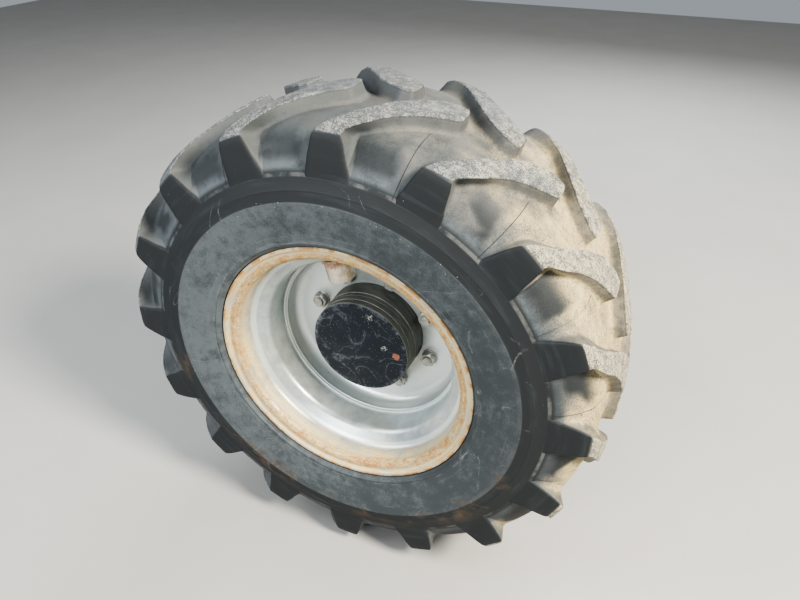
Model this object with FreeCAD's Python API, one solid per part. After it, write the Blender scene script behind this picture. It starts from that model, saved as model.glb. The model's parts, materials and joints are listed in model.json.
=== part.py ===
import FreeCAD, Part
import math
import os

# Wheel end of a site dumper: lugged tyre on a dished steel wheel, hub and axle arm.
# Millimetres, +Z up. The wheel turns about the Y axis and its outer face looks towards -Y.
# The origin is the centre of the bolted face at the inner end of the axle arm.
# Along the axle, y is counted outwards from the tyre's middle plane, and r is the radius.

# Where the wheel sits
MOUNT_TO_MIDPLANE = 300.0

# Tyre casing, made of flats all round; a drop is counted from the tyre's outer radius
TYRE_RADIUS = 538.0
TYRE_FLAT_COUNT = 64
CAVITY_FLAT_COUNT = 32
FLOOR_HALF_WIDTH = 126.0
SHOULDER_DROP = 58.0
SHOULDER_HALF_WIDTH = 165.0
LUG_END_DROP = 113.0
LUG_END_HALF_WIDTH = 192.0
SIDEWALL_RING_DROP = 160.0
SIDEWALL_RING_HALF_WIDTH = 201.0
BEAD_CLEAR = 0.3
SIDEWALL_THICKNESS = 18.0
TREAD_THICKNESS = 20.0
CASING_INNER_HALF_WIDTH = 120.0

# Tread lugs: each starts on the sidewall, turns over the shoulder and slants to the tread's middle
LUG_COUNT = 16
LUG_FIRST_ANGLE = 22.1
LUG_FAR_SHIFT = 11.25
LUG_DEPTH = 30.0
LUG_ROOT = 10.0
LUG_DRAFT = 0.25
LUG_ROWS = [
    # drop, distance from the middle plane, lean of the walls from the radius, and degrees
    # from the lug's middle to its clockwise and to its counterclockwise edge
    (119.0, 192.6, 90.0, -6.1, 5.6),
    (34.0, 186.0, 60.0, -3.1, 2.6),
    (20.0, 170.0, 45.0, -4.9, 0.6),
    (11.5, 147.0, 30.0, -7.5, -2.1),
    (4.0, 88.0, 0.0, -13.3, -6.4),
    (0.7, 40.0, 0.0, -20.1, -10.3),
    (0.0, -9.0, 0.0, -19.5, -17.6),
]

# Rim
RIM_HALF_WIDTH = 165.5
RIM_LIP_REACH = 13.5
RIM_LIP_CURL = 10.5
RIM_WALL = 8.0
BEAD_SEAT_RADIUS = 258.0
RIM_FLANGE_HEIGHT = 24.6
BEAD_SEAT_WIDTH = 37.5
BEAD_SEAT_RISE = 3.0
WELL_DEPTH = 37.0
WELL_OUTER_Y = 107.0
WELL_INNER_Y = -12.0
WELL_SLOPE_WIDTH = 20.0

# Wheel disc
DISC_FACE_Y = 7.0
DISC_THICKNESS = 10.0
DISC_EDGE_Y = 46.0
DISC_BEND_RADIUS = 22.0
WELD_FIT = 0.2

# Hub
HUB_RADIUS = 112.0
HUB_STEP_Y = 47.0
HUB_STEP = 1.2
COVER_JOINT_Y = 73.0
COVER_FACE_Y = 89.4
COVER_RADIUS = 109.8
COVER_EDGE_CHAMFER = 1.6
HUB_FLANGE_RADIUS = 166.0
HUB_FLANGE_THICKNESS = 24.0
HUB_BACK_RADIUS = 104.0
HUB_BACK_TAPER = 22.0
HUB_BACK_Y = -95.0
SPIGOT_FIT = 0.3

# Wheel studs and nuts
STUD_COUNT = 8
STUD_CIRCLE = 275.0
STUD_FIRST_ANGLE = 26.5
STUD_DIAMETER = 20.0
STUD_HOLE_DIAMETER = 24.0
STUD_HEAD_DIAMETER = 34.0
STUD_HEAD_HEIGHT = 9.0
STUD_HEAD_CLEAR = 1.5
STUD_END_Y = 29.0
STUD_THREAD_FIT = 0.2
WASHER_DIAMETER = 36.0
WASHER_THICKNESS = 3.5
WASHER_TO_BEND = 1.0
NUT_ACROSS_FLATS = 30.0
NUT_HEIGHT = 14.0

# Valve in the rim well, inside a short welded pipe
VALVE_ANGLE = 103.5
VALVE_Y = 77.0
GUARD_DIAMETER = 58.0
GUARD_WALL = 5.0
GUARD_LENGTH = 48.0
VALVE_BASE_DIAMETER = 17.0
VALVE_BASE_HEIGHT = 12.0
VALVE_HOLE_FIT = 0.5
VALVE_STEM_DIAMETER = 9.0
VALVE_STEM_LENGTH = 32.0
VALVE_CAP_DIAMETER = 11.0
VALVE_CAP_HEIGHT = 9.0

# Spindle and its bearing seats
SPINDLE_INNER_SEAT_RADIUS = 55.0
SPINDLE_OUTER_SEAT_RADIUS = 45.0
SPINDLE_WAIST_RADIUS = 50.0
SPINDLE_END_Y = 44.0
SEAT_LENGTH = 30.0
BEARING_FIT = 0.06
HUB_CAVITY_RADIUS = 66.0
HUB_CAVITY_END_Y = 62.0
SPINDLE_FLANGE_RADIUS = 100.0
SPINDLE_FLANGE_THICKNESS = 16.0
HUB_TO_SPINDLE_GAP = 6.0
SEAL_RADIUS = 80.0
SEAL_DEPTH = 14.0
SEAL_RUNNING_GAP = 0.5

# Axle arm
ARM_END_THICKNESS = 20.0
ARM_TUBE_RADIUS = 60.0
ARM_ROOT_RADIUS = 74.0
ARM_BORE_RADIUS = 38.0
ARM_FLANGE_RADIUS = 132.0
ARM_FLANGE_THICKNESS = 22.0
ARM_BOLT_COUNT = 12
ARM_BOLT_TO_EDGE = 20.0
ARM_BOLT_HOLE_DIAMETER = 17.0
RIB_COUNT = 6
RIB_THICKNESS = 12.0
RIB_LENGTH = 75.0
RIB_FLANGE_MARGIN = 14.0
RIB_FIRST_ANGLE = 15.0

# Bolts that hold the spindle to the arm
SPINDLE_BOLT_COUNT = 8
SPINDLE_BOLT_CIRCLE = 166.0
SPINDLE_BOLT_DIAMETER = 14.0
SPINDLE_BOLT_ACROSS_FLATS = 21.0
SPINDLE_BOLT_HEAD_HEIGHT = 9.0
SPINDLE_BOLT_REACH = 12.0
SPINDLE_BOLT_FIT = 0.2

AXLE = FreeCAD.Vector(0, 1, 0)
ORIGIN = FreeCAD.Vector(0, 0, 0)
CUT_MARGIN = 1.0
HALF_WAY = math.sqrt(0.5)

# Radii and levels along the axle that follow from the sizes above
rim_flange_radius = BEAD_SEAT_RADIUS + RIM_FLANGE_HEIGHT
well_radius = BEAD_SEAT_RADIUS - WELL_DEPTH
well_inside_radius = well_radius - RIM_WALL
guard_end_radius = well_inside_radius - GUARD_LENGTH
stem_end_radius = well_inside_radius - VALVE_STEM_LENGTH
hub_barrel_radius = (STUD_CIRCLE - STUD_HEAD_DIAMETER) / 2.0 - STUD_HEAD_CLEAR
arm_bolt_circle = 2.0 * (ARM_FLANGE_RADIUS - ARM_BOLT_TO_EDGE)
disc_back_y = DISC_FACE_Y - DISC_THICKNESS
hub_flange_back_y = disc_back_y - HUB_FLANGE_THICKNESS
spindle_flange_y = HUB_BACK_Y - HUB_TO_SPINDLE_GAP
arm_end_y = spindle_flange_y - SPINDLE_FLANGE_THICKNESS
arm_end_back_y = arm_end_y - ARM_END_THICKNESS
arm_flange_front_y = ARM_FLANGE_THICKNESS - MOUNT_TO_MIDPLANE
mount_face_y = -MOUNT_TO_MIDPLANE


def at(r, y):
    """Point of a profile, at radius r and y outwards from the tyre's middle plane."""
    return FreeCAD.Vector(r, -(MOUNT_TO_MIDPLANE + y), 0)


def line(a, b):
    return Part.makeLine(at(*a), at(*b))


def arc(a, b, c):
    return Part.Arc(at(*a), at(*b), at(*c)).toShape()


def polygon_edges(points):
    return [line(points[i], points[i + 1]) for i in range(len(points) - 1)]


def turned(edges):
    """Solid of revolution about the axle from a closed profile."""
    face = Part.Face(Part.Wire(edges))
    solid = face.revolve(ORIGIN, AXLE, 360)
    return solid if solid.Volume > 0 else solid.reversed()


def turned_polygon(points):
    return turned(polygon_edges(points + [points[0]]))


def ring(r_inner, r_outer, y_low, y_high):
    """Plain ring or disc between two levels."""
    return turned_polygon([(r_inner, y_low), (r_outer, y_low), (r_outer, y_high), (r_inner, y_high)])


def rod(r, y_low, y_high, x=0.0, z=0.0):
    """Round bar along the axle's direction, off the axle by x and z."""
    start = FreeCAD.Vector(x, -(MOUNT_TO_MIDPLANE + y_high), z)
    return Part.makeCylinder(r, y_high - y_low, start, AXLE)


def hexagon(across_flats, y_low, y_high, x, z, turn):
    """Hexagonal bar along the axle's direction."""
    corner = across_flats / math.sqrt(3.0)
    y_start = -(MOUNT_TO_MIDPLANE + y_high)
    points = []
    for k in range(7):
        angle = math.radians(turn + 60.0 * k)
        points.append(FreeCAD.Vector(x + corner * math.cos(angle), y_start, z + corner * math.sin(angle)))
    face = Part.Face(Part.makePolygon(points))
    return face.extrude(AXLE * (y_high - y_low))


def circle_places(count, diameter, first_angle):
    """Places (x, z, angle) of an even pattern round the axle."""
    places = []
    for k in range(count):
        angle = first_angle + 360.0 * k / count
        reach = diameter / 2.0
        places.append((reach * math.cos(math.radians(angle)), reach * math.sin(math.radians(angle)), angle))
    return places


def drill(solid, places, diameter, y_low, y_high):
    for x, z, angle in places:
        solid = solid.cut(rod(diameter / 2.0, y_low, y_high, x, z))
    return solid


def polar(r, y, degrees):
    """Point at radius r, y outwards from the tyre's middle plane, turned round the axle."""
    angle = math.radians(degrees)
    return FreeCAD.Vector(r * math.cos(angle), -(MOUNT_TO_MIDPLANE + y), r * math.sin(angle))


def closed_solid(outlines):
    """Solid bounded by flat faces, each given by its corners."""
    faces = [Part.Face(Part.makePolygon(corners + corners[:1])) for corners in outlines]
    solid = Part.Solid(Part.Shell(faces))
    return solid if solid.Volume > 0 else solid.reversed()


def flat_ring(flats, corners):
    """Ring of flats round the axle, from the corners (r, y) of its closed outline."""
    sections = []
    for k in range(flats + 1):
        degrees = LUG_FIRST_ANGLE + 360.0 * (k % flats) / flats
        sections.append([polar(r, y, degrees) for r, y in corners])
    outlines = []
    for here, there in zip(sections, sections[1:]):
        for i in range(len(corners)):
            outlines.append([here[i - 1], here[i], there[i], there[i - 1]])
    return closed_solid(outlines)


def both_halves(corners):
    """Closed outline from the corners of its outer half."""
    return [(r, -y) for r, y in reversed(corners)] + corners


def make_casing_outside():
    """The casing filled down to its beads, whose flats clear the round rim."""
    to_flat = 1.0 / math.cos(math.pi / TYRE_FLAT_COUNT)
    flange_radius = (rim_flange_radius + BEAD_CLEAR) * to_flat
    seat_radius = (BEAD_SEAT_RADIUS + BEAD_CLEAR) * to_flat
    heel_y = RIM_HALF_WIDTH - BEAD_CLEAR
    return flat_ring(TYRE_FLAT_COUNT, both_halves([
        (TYRE_RADIUS - LUG_DEPTH, FLOOR_HALF_WIDTH),
        (TYRE_RADIUS - SHOULDER_DROP, SHOULDER_HALF_WIDTH),
        (TYRE_RADIUS - LUG_END_DROP, LUG_END_HALF_WIDTH),
        (TYRE_RADIUS - SIDEWALL_RING_DROP, SIDEWALL_RING_HALF_WIDTH),
        (flange_radius, RIM_HALF_WIDTH + RIM_LIP_CURL),
        (flange_radius, heel_y),
        (seat_radius, heel_y),
    ]))


def make_casing_cavity():
    """Air space of the tyre, open towards the rim between the two beads."""
    wall = SIDEWALL_THICKNESS
    crown_radius = TYRE_RADIUS - LUG_DEPTH - TREAD_THICKNESS
    toe_y = RIM_HALF_WIDTH - BEAD_SEAT_WIDTH + BEAD_CLEAR
    return flat_ring(CAVITY_FLAT_COUNT, both_halves([
        (crown_radius, CASING_INNER_HALF_WIDTH - wall),
        (crown_radius - wall, CASING_INNER_HALF_WIDTH + wall),
        (TYRE_RADIUS - SIDEWALL_RING_DROP + wall, SIDEWALL_RING_HALF_WIDTH - wall),
        (rim_flange_radius, toe_y),
        (BEAD_SEAT_RADIUS - CUT_MARGIN, toe_y),
    ]))


def make_lug(side, turn):
    """One lug, rooted in the casing, of the outer (1) or inner (-1) half of the tread."""
    reach = LUG_DEPTH + LUG_ROOT
    sections = []
    for drop, y, lean, clockwise, counter in LUG_ROWS:
        face_radius = TYRE_RADIUS - drop
        root_radius = face_radius - reach * math.cos(math.radians(lean))
        root_y = y - reach * math.sin(math.radians(lean))
        spread = math.degrees(reach * LUG_DRAFT / root_radius)
        sections.append([
            polar(face_radius, side * y, turn + clockwise),
            polar(face_radius, side * y, turn + counter),
            polar(root_radius, side * root_y, turn + counter + spread),
            polar(root_radius, side * root_y, turn + clockwise - spread),
        ])
    outlines = [sections[0], sections[-1]]
    for here, there in zip(sections, sections[1:]):
        for i in range(4):
            outlines.append([here[i - 1], here[i], there[i]])
            outlines.append([here[i - 1], there[i], there[i - 1]])
    return closed_solid(outlines)


def make_tyre():
    lugs = []
    for k in range(LUG_COUNT):
        turn = LUG_FIRST_ANGLE + 360.0 * k / LUG_COUNT
        lugs.append(make_lug(1.0, turn))
        lugs.append(make_lug(-1.0, turn + LUG_FAR_SHIFT))
    return make_casing_outside().fuse(lugs).removeSplitter().cut(make_casing_cavity())


def make_rim_barrel():
    # Tyre side of the wall first, then back along the side that looks at the disc
    lip_end = RIM_HALF_WIDTH + RIM_LIP_REACH
    seat_end = RIM_HALF_WIDTH - BEAD_SEAT_WIDTH
    seat_low = BEAD_SEAT_RADIUS - BEAD_SEAT_RISE
    curl = RIM_LIP_CURL
    wall = RIM_WALL

    def flange(side, seat_end_y):
        """Lip, curl and bead seat of one side, from the lip's top round to its underside."""
        def p(r, y):
            return (r, side * y)
        centre_r = rim_flange_radius - curl
        centre_y = RIM_HALF_WIDTH + curl
        outer = [
            line(p(rim_flange_radius, lip_end), p(rim_flange_radius, centre_y)),
            arc(p(rim_flange_radius, centre_y), p(centre_r + curl * HALF_WAY, centre_y - curl * HALF_WAY),
                p(centre_r, RIM_HALF_WIDTH)),
            line(p(centre_r, RIM_HALF_WIDTH), p(BEAD_SEAT_RADIUS, RIM_HALF_WIDTH)),
            line(p(BEAD_SEAT_RADIUS, RIM_HALF_WIDTH), (seat_low, seat_end_y)),
        ]
        inside = curl - wall
        inner = [
            line(p(rim_flange_radius, lip_end), p(rim_flange_radius - wall, lip_end)),
            line(p(rim_flange_radius - wall, lip_end), p(rim_flange_radius - wall, centre_y)),
            arc(p(rim_flange_radius - wall, centre_y),
                p(centre_r + inside * HALF_WAY, centre_y - inside * HALF_WAY),
                p(centre_r, RIM_HALF_WIDTH + wall)),
            line(p(centre_r, RIM_HALF_WIDTH + wall), p(BEAD_SEAT_RADIUS, RIM_HALF_WIDTH + wall)),
            arc(p(BEAD_SEAT_RADIUS, RIM_HALF_WIDTH + wall),
                p(BEAD_SEAT_RADIUS - wall * HALF_WAY, RIM_HALF_WIDTH + wall * HALF_WAY),
                p(BEAD_SEAT_RADIUS - wall, RIM_HALF_WIDTH)),
            line(p(BEAD_SEAT_RADIUS - wall, RIM_HALF_WIDTH), (seat_low - wall, seat_end_y)),
        ]
        return outer, inner

    inner_seat_end = WELL_INNER_Y - WELL_SLOPE_WIDTH
    outer_side, outer_inside = flange(1.0, seat_end)
    inner_side, inner_inside = flange(-1.0, inner_seat_end)
    tyre_side = polygon_edges([(seat_low, seat_end), (well_radius, WELL_OUTER_Y),
                               (well_radius, WELL_INNER_Y), (seat_low, inner_seat_end)])
    disc_side = polygon_edges([(seat_low - wall, seat_end), (well_inside_radius, WELL_OUTER_Y),
                               (well_inside_radius, WELL_INNER_Y), (seat_low - wall, inner_seat_end)])
    edges = outer_side + outer_inside + inner_side + inner_inside + tyre_side + disc_side
    barrel = turned(Part.__sortEdges__(edges))
    hole_radius = VALVE_BASE_DIAMETER / 2.0 - VALVE_HOLE_FIT
    hole = radial_rod(hole_radius, well_inside_radius - VALVE_BASE_HEIGHT, well_radius + RIM_WALL)
    return barrel.cut(hole)


def radial_rod(r, r_low, r_high):
    """Round bar that points away from the axle at the valve's place."""
    angle = math.radians(VALVE_ANGLE)
    outwards = FreeCAD.Vector(math.cos(angle), 0, math.sin(angle))
    foot = outwards * r_low + FreeCAD.Vector(0, -(MOUNT_TO_MIDPLANE + VALVE_Y), 0)
    return Part.makeCylinder(r, r_high - r_low, foot, outwards)


def valve_room():
    """Space inside the rim's well, just short of its wall, round the valve's place."""
    return ring(0.0, well_inside_radius - WELD_FIT, VALVE_Y - GUARD_DIAMETER, VALVE_Y + GUARD_DIAMETER)


def make_valve_guard():
    pipe = radial_rod(GUARD_DIAMETER / 2.0, guard_end_radius, well_radius)
    bore_radius = GUARD_DIAMETER / 2.0 - GUARD_WALL
    bore = radial_rod(bore_radius, guard_end_radius - CUT_MARGIN, well_radius + CUT_MARGIN)
    return pipe.cut(bore).common(valve_room())


def make_valve_stem():
    base = radial_rod(VALVE_BASE_DIAMETER / 2.0, well_inside_radius - VALVE_BASE_HEIGHT, well_radius)
    stem = radial_rod(VALVE_STEM_DIAMETER / 2.0, stem_end_radius, well_inside_radius - VALVE_BASE_HEIGHT)
    return base.common(valve_room()).fuse(stem)


def make_valve_cap():
    return radial_rod(VALVE_CAP_DIAMETER / 2.0, stem_end_radius - VALVE_CAP_HEIGHT, stem_end_radius)


def make_wheel_disc():
    edge_radius = well_inside_radius - WELD_FIT
    collar_radius = edge_radius - DISC_THICKNESS
    washer_reach = (STUD_CIRCLE + WASHER_DIAMETER) / 2.0 + WASHER_TO_BEND
    bend = min(DISC_BEND_RADIUS, collar_radius - washer_reach)
    bore = HUB_RADIUS + SPIGOT_FIT
    outer_bend = bend + DISC_THICKNESS
    turn = 1.0 - HALF_WAY
    edges = [
        line((bore, disc_back_y), (edge_radius - outer_bend, disc_back_y)),
        arc((edge_radius - outer_bend, disc_back_y),
            (edge_radius - outer_bend * turn, disc_back_y + outer_bend * turn),
            (edge_radius, disc_back_y + outer_bend)),
        line((edge_radius, disc_back_y + outer_bend), (edge_radius, DISC_EDGE_Y)),
        line((edge_radius, DISC_EDGE_Y), (collar_radius, DISC_EDGE_Y)),
        line((collar_radius, DISC_EDGE_Y), (collar_radius, DISC_FACE_Y + bend)),
        arc((collar_radius, DISC_FACE_Y + bend),
            (collar_radius - bend * turn, DISC_FACE_Y + bend * turn),
            (collar_radius - bend, DISC_FACE_Y)),
        line((collar_radius - bend, DISC_FACE_Y), (bore, DISC_FACE_Y)),
        line((bore, DISC_FACE_Y), (bore, disc_back_y)),
    ]
    disc = turned(edges)
    return drill(disc, stud_places, STUD_HOLE_DIAMETER, disc_back_y - CUT_MARGIN, DISC_FACE_Y + CUT_MARGIN)


def make_hub_housing():
    seat = SPINDLE_OUTER_SEAT_RADIUS + BEARING_FIT
    inner_seat = SPINDLE_INNER_SEAT_RADIUS + BEARING_FIT
    cavity = HUB_CAVITY_RADIUS
    seal_bore = SEAL_RADIUS + WELD_FIT
    seat_out_start = SPINDLE_END_Y - SEAT_LENGTH
    seat_in_start = HUB_BACK_Y + SEAL_DEPTH
    step_radius = HUB_RADIUS - HUB_STEP
    housing = turned_polygon([
        (seal_bore, HUB_BACK_Y),
        (HUB_BACK_RADIUS, HUB_BACK_Y),
        (hub_barrel_radius, HUB_BACK_Y + HUB_BACK_TAPER),
        (hub_barrel_radius, hub_flange_back_y),
        (HUB_FLANGE_RADIUS, hub_flange_back_y),
        (HUB_FLANGE_RADIUS, disc_back_y),
        (HUB_RADIUS, disc_back_y),
        (HUB_RADIUS, HUB_STEP_Y),
        (step_radius, HUB_STEP_Y),
        (step_radius, COVER_JOINT_Y),
        (cavity, COVER_JOINT_Y),
        (cavity, SPINDLE_END_Y),
        (seat, SPINDLE_END_Y),
        (seat, seat_out_start),
        (cavity, seat_out_start),
        (cavity, seat_in_start + SEAT_LENGTH),
        (inner_seat, seat_in_start + SEAT_LENGTH),
        (inner_seat, seat_in_start),
        (seal_bore, seat_in_start),
    ])
    return drill(housing, stud_places, STUD_DIAMETER + 2.0 * STUD_THREAD_FIT,
                 hub_flange_back_y - CUT_MARGIN, disc_back_y + CUT_MARGIN)


def make_hub_end_cover():
    chamfer = COVER_EDGE_CHAMFER
    return turned_polygon([
        (0.0, COVER_JOINT_Y),
        (COVER_RADIUS, COVER_JOINT_Y),
        (COVER_RADIUS, COVER_FACE_Y - chamfer),
        (COVER_RADIUS - chamfer, COVER_FACE_Y),
        (0.0, COVER_FACE_Y),
    ])


def make_hub_seal():
    bore = SPINDLE_INNER_SEAT_RADIUS + SEAL_RUNNING_GAP
    return ring(bore, SEAL_RADIUS, HUB_BACK_Y, HUB_BACK_Y + SEAL_DEPTH)


def make_wheel_studs():
    studs = []
    for x, z, angle in stud_places:
        shank = rod(STUD_DIAMETER / 2.0, hub_flange_back_y, STUD_END_Y, x, z)
        head = rod(STUD_HEAD_DIAMETER / 2.0, hub_flange_back_y - STUD_HEAD_HEIGHT, hub_flange_back_y, x, z)
        studs.append(shank.fuse(head).removeSplitter())
    return Part.makeCompound(studs)


def make_nut_washers():
    washers = []
    for x, z, angle in stud_places:
        washer = rod(WASHER_DIAMETER / 2.0, DISC_FACE_Y, DISC_FACE_Y + WASHER_THICKNESS, x, z)
        bore = rod(STUD_DIAMETER / 2.0 + STUD_THREAD_FIT, disc_back_y, STUD_END_Y, x, z)
        washers.append(washer.cut(bore))
    return Part.makeCompound(washers)


def make_wheel_nuts():
    low = DISC_FACE_Y + WASHER_THICKNESS
    nuts = []
    for x, z, angle in stud_places:
        nut = hexagon(NUT_ACROSS_FLATS, low, low + NUT_HEIGHT, x, z, angle)
        bore = rod(STUD_DIAMETER / 2.0 + STUD_THREAD_FIT, disc_back_y, STUD_END_Y, x, z)
        nuts.append(nut.cut(bore))
    return Part.makeCompound(nuts)


def make_spindle():
    seat_out_start = SPINDLE_END_Y - SEAT_LENGTH
    seat_in_start = HUB_BACK_Y + SEAL_DEPTH
    spindle = turned_polygon([
        (0.0, arm_end_y),
        (SPINDLE_FLANGE_RADIUS, arm_end_y),
        (SPINDLE_FLANGE_RADIUS, spindle_flange_y),
        (SPINDLE_INNER_SEAT_RADIUS, spindle_flange_y),
        (SPINDLE_INNER_SEAT_RADIUS, seat_in_start + SEAT_LENGTH),
        (SPINDLE_WAIST_RADIUS, seat_in_start + SEAT_LENGTH),
        (SPINDLE_WAIST_RADIUS, 0.0),
        (SPINDLE_OUTER_SEAT_RADIUS, seat_out_start),
        (SPINDLE_OUTER_SEAT_RADIUS, SPINDLE_END_Y),
        (0.0, SPINDLE_END_Y),
    ])
    return drill(spindle, bolt_places, SPINDLE_BOLT_DIAMETER + 2.0 * SPINDLE_BOLT_FIT,
                 arm_end_y - CUT_MARGIN, arm_end_y + SPINDLE_BOLT_REACH)


def make_spindle_bolts():
    bolts = []
    for x, z, angle in bolt_places:
        shank = rod(SPINDLE_BOLT_DIAMETER / 2.0, arm_end_back_y, arm_end_y + SPINDLE_BOLT_REACH, x, z)
        head = hexagon(SPINDLE_BOLT_ACROSS_FLATS, arm_end_back_y - SPINDLE_BOLT_HEAD_HEIGHT,
                       arm_end_back_y, x, z, angle)
        bolts.append(shank.fuse(head).removeSplitter())
    return Part.makeCompound(bolts)


def make_rib(angle):
    """Triangular rib between the mounting flange and the arm's tube."""
    reach = ARM_FLANGE_RADIUS - RIB_FLANGE_MARGIN
    rib_end_y = arm_flange_front_y + RIB_LENGTH
    face_points = [at(ARM_TUBE_RADIUS / 2.0, arm_flange_front_y), at(reach, arm_flange_front_y),
                   at(ARM_TUBE_RADIUS, rib_end_y), at(ARM_TUBE_RADIUS / 2.0, rib_end_y)]
    face = Part.Face(Part.makePolygon(face_points + [face_points[0]]))
    rib = face.extrude(FreeCAD.Vector(0, 0, RIB_THICKNESS))
    rib.translate(FreeCAD.Vector(0, 0, -RIB_THICKNESS / 2.0))
    rib.rotate(ORIGIN, AXLE, angle)
    return rib


def make_axle_arm():
    arm = turned_polygon([
        (0.0, arm_end_y),
        (SPINDLE_FLANGE_RADIUS, arm_end_y),
        (SPINDLE_FLANGE_RADIUS, arm_end_back_y),
        (ARM_TUBE_RADIUS, arm_end_back_y),
        (ARM_ROOT_RADIUS, arm_flange_front_y),
        (ARM_FLANGE_RADIUS, arm_flange_front_y),
        (ARM_FLANGE_RADIUS, mount_face_y),
        (0.0, mount_face_y),
    ])
    for k in range(RIB_COUNT):
        arm = arm.fuse(make_rib(RIB_FIRST_ANGLE + 360.0 * k / RIB_COUNT))
    arm = arm.removeSplitter()
    arm = arm.cut(rod(ARM_BORE_RADIUS, mount_face_y - CUT_MARGIN, arm_end_back_y))
    arm = drill(arm, circle_places(ARM_BOLT_COUNT, arm_bolt_circle, 0.0), ARM_BOLT_HOLE_DIAMETER,
                mount_face_y - CUT_MARGIN, arm_flange_front_y + CUT_MARGIN)
    return drill(arm, bolt_places, SPINDLE_BOLT_DIAMETER + 2.0 * SPINDLE_BOLT_FIT,
                 arm_end_back_y - CUT_MARGIN, arm_end_y + CUT_MARGIN)


stud_places = circle_places(STUD_COUNT, STUD_CIRCLE, STUD_FIRST_ANGLE)
bolt_places = circle_places(SPINDLE_BOLT_COUNT, SPINDLE_BOLT_CIRCLE, 0.0)

PIECES = [
    # name of the piece, function that makes it
    ("axle_arm", make_axle_arm),
    ("spindle", make_spindle),
    ("spindle_bolts", make_spindle_bolts),
    ("hub_seal", make_hub_seal),
    ("hub_housing", make_hub_housing),
    ("hub_end_cover", make_hub_end_cover),
    ("wheel_studs", make_wheel_studs),
    ("nut_washers", make_nut_washers),
    ("wheel_nuts", make_wheel_nuts),
    ("wheel_disc", make_wheel_disc),
    ("rim_barrel", make_rim_barrel),
    ("valve_guard", make_valve_guard),
    ("valve_stem", make_valve_stem),
    ("valve_cap", make_valve_cap),
    ("tyre", make_tyre),
]

os.makedirs("parts", exist_ok=True)
for name, make in PIECES:
    shape = make()
    shape.exportStep("parts/" + name + ".step")
    litres = round(shape.Volume / 1e6, 3)
    print(name, "solids", len(shape.Solids), "litres", litres, "valid", shape.isValid())
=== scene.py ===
import json
import math
from functools import partialmethod

import bmesh
import bpy
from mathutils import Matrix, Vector


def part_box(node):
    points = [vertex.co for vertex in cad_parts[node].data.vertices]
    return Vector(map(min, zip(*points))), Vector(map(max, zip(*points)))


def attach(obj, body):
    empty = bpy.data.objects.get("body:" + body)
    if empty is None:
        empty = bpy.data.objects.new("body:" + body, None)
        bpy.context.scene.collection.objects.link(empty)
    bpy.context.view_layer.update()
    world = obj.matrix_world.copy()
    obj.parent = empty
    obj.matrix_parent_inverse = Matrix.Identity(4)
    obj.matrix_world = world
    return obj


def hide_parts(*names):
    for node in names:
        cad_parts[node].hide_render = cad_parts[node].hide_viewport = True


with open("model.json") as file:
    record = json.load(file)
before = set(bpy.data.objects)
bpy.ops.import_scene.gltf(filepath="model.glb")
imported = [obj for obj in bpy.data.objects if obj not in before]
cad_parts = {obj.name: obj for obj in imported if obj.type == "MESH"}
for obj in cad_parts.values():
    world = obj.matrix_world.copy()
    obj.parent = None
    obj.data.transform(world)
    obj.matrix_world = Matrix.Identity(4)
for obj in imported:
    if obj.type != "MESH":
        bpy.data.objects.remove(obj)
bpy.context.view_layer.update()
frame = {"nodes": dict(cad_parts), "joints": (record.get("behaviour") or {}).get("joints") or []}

# Wheel end of a site dumper. Metres, +Z up, the wheel's outer face looks towards -Y.
# Most places below are (radius, out): radius from the axle, out from the tyre's middle plane.
wheelCentre = Vector(frame["joints"][0]["pos_m"])
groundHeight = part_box("tyre")[0].z
fullTurn = 2 * math.pi
# how far a cutting tool reaches past the piece, and which vertices count as one
overshoot = 0.01
mergeWithin = {"corners": 1e-5, "spun": 2e-6, "sheet": 1e-3}
# bends between faces up to so many degrees look round
smoothUpTo = {"moulded": 60.0, "turned": 35.0, "hexagon": 30.0, "bar": 20.0}


def onProfile(radius, out):
    return Vector((radius, wheelCentre.y - out, 0.0))


def aroundAxle(radius, out, degrees):
    angle = math.radians(degrees)
    return Vector((radius * math.cos(angle), wheelCentre.y - out, radius * math.sin(angle)))


def clearSelection():
    if bpy.context.object and bpy.context.object.mode != "OBJECT":
        bpy.ops.object.mode_set(mode="OBJECT")
    bpy.ops.object.select_all(action="DESELECT")


def makeActive(piece):
    clearSelection()
    piece.select_set(True)
    bpy.context.view_layer.objects.active = piece
    return piece


def newPiece(name):
    # the primitive just added gets its name
    piece = bpy.context.object
    piece.name = piece.data.name = name
    return piece


def copyOf(piece, name):
    copy = piece.copy()
    copy.data = piece.data.copy()
    copy.name = copy.data.name = name
    bpy.context.collection.objects.link(copy)
    return makeActive(copy)


def pick(piece, wanted, kind="verts"):
    # in edit mode: select only the vertices, edges or faces that wanted() says yes to
    bpy.ops.mesh.select_mode(type={"verts": "VERT", "edges": "EDGE", "faces": "FACE"}[kind])
    bpy.ops.mesh.select_all(action="DESELECT")
    mesh = bmesh.from_edit_mesh(piece.data)
    for element in getattr(mesh, kind):
        if wanted(element):
            element.select = True
    mesh.select_flush_mode()
    bmesh.update_edit_mesh(piece.data)


def editAll(piece):
    # into edit mode with everything selected, whatever was picked before
    makeActive(piece)
    bpy.ops.object.mode_set(mode="EDIT")
    bpy.ops.mesh.select_mode(type="VERT")
    bpy.ops.mesh.select_all(action="SELECT")


def mergeAll(kind):
    bpy.ops.mesh.select_all(action="SELECT")
    bpy.ops.mesh.remove_doubles(threshold=mergeWithin[kind])


def faceOutwards():
    bpy.ops.mesh.select_all(action="SELECT")
    bpy.ops.mesh.normals_make_consistent(inside=False)


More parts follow.
